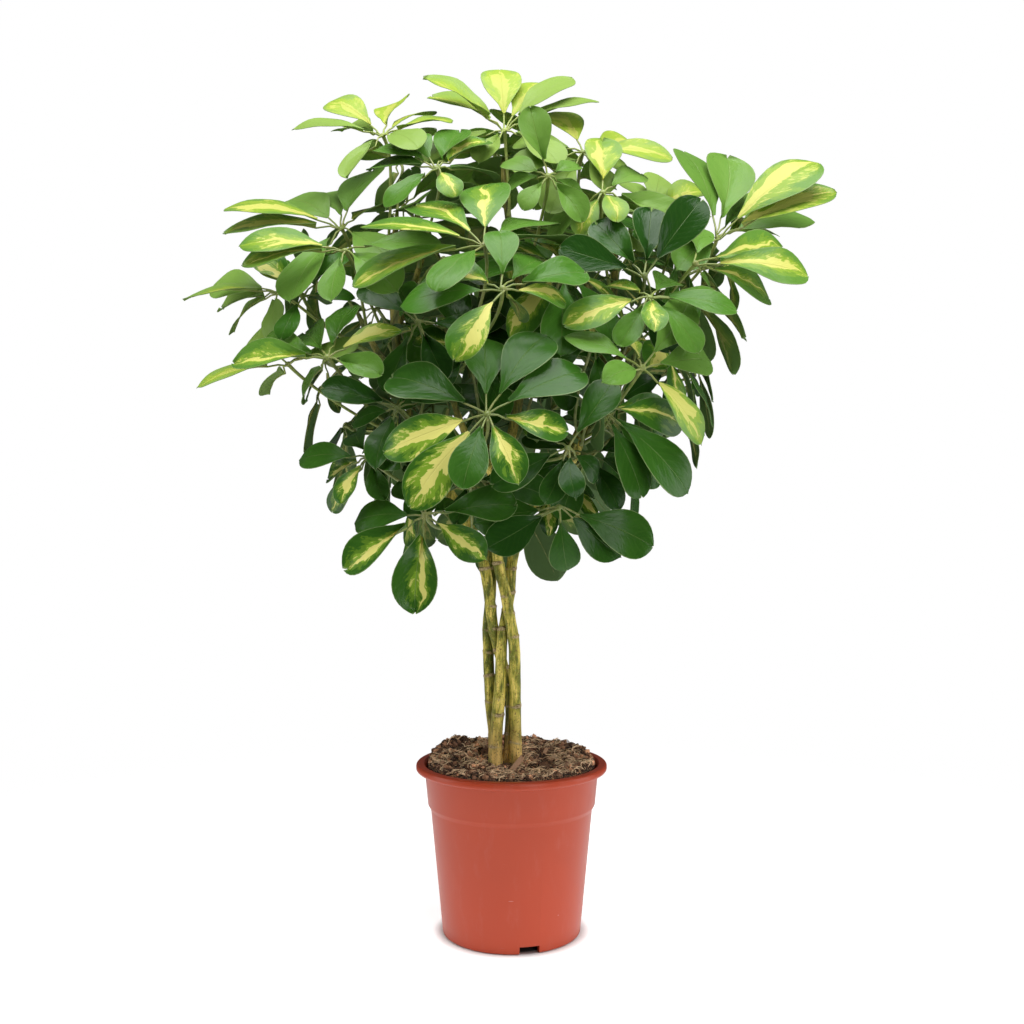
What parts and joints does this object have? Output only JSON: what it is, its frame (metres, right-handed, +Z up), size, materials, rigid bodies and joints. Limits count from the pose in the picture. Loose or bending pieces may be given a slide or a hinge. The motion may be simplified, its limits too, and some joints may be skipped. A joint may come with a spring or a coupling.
{
  "type": "potted umbrella plant",
  "caption": "Variegated umbrella plant with twisted stems and glossy fans of leaflets on long stalks, standing in a tapered nursery pot filled with soil.",
  "frame": {"origin": "on the pot's axis, at the surface that the pot stands on", "axes": "+Z up along the pot's axis, +X to the viewer's right in the picture, +Y away from the viewer"},
  "size_m": [0.6969, 0.5065, 0.9633],
  "materials": {
    "pot_plastic": "moulded terracotta-coloured plastic with a soft sheen",
    "potting_soil": "coarse fibrous potting mix, matt",
    "stem_bark": "thin yellow-green bark with brown leaf scars",
    "leaf": "glossy green blades with yellow variegation"
  },
  "bodies": {
    "root": {"pot": "pot_plastic", "soil": "potting_soil", "stem_front": "stem_bark", "stem_left": "stem_bark", "stem_back": "stem_bark", "stem_right": "stem_bark", "leaf_front_middle": "leaf", "leaf_front_high": "leaf", "leaf_right_upright": "leaf", "leaf_right_outer": "leaf", "leaf_front_low_left": "leaf", "leaf_front_low": "leaf", "leaf_front_top": "leaf", "leaf_front_right_low": "leaf", "leaf_front_dark": "leaf", "leaf_right_pale": "leaf", "leaf_right_inner": "leaf", "leaf_right_far": "leaf", "leaf_left_big": "leaf", "leaf_left_lime": "leaf", "leaf_left_low": "leaf", "leaf_left_high": "leaf", "leaf_left_front": "leaf", "leaf_left_middle": "leaf", "leaf_left_far": "leaf", "leaf_top": "leaf", "leaf_top_left": "leaf", "leaf_top_front_left": "leaf", "leaf_top_right": "leaf", "leaf_top_front": "leaf", "leaf_top_front_right": "leaf", "leaf_right_back_high": "leaf", "leaf_inner_left": "leaf", "leaf_inner_low_left": "leaf", "leaf_inner_middle": "leaf", "leaf_inner_low": "leaf", "leaf_inner_low_right": "leaf", "leaf_inner_high": "leaf", "leaf_inner_right": "leaf", "leaf_01": "leaf", "leaf_02": "leaf", "leaf_03": "leaf", "leaf_04": "leaf", "leaf_05": "leaf", "leaf_06": "leaf", "leaf_07": "leaf", "leaf_08": "leaf", "leaf_09": "leaf", "leaf_10": "leaf", "leaf_11": "leaf", "leaf_12": "leaf", "leaf_13": "leaf", "leaf_14": "leaf", "leaf_15": "leaf", "leaf_16": "leaf", "leaf_17": "leaf", "leaf_18": "leaf", "leaf_19": "leaf", "leaf_20": "leaf", "leaf_21": "leaf"}
  },
  "joints": []
}
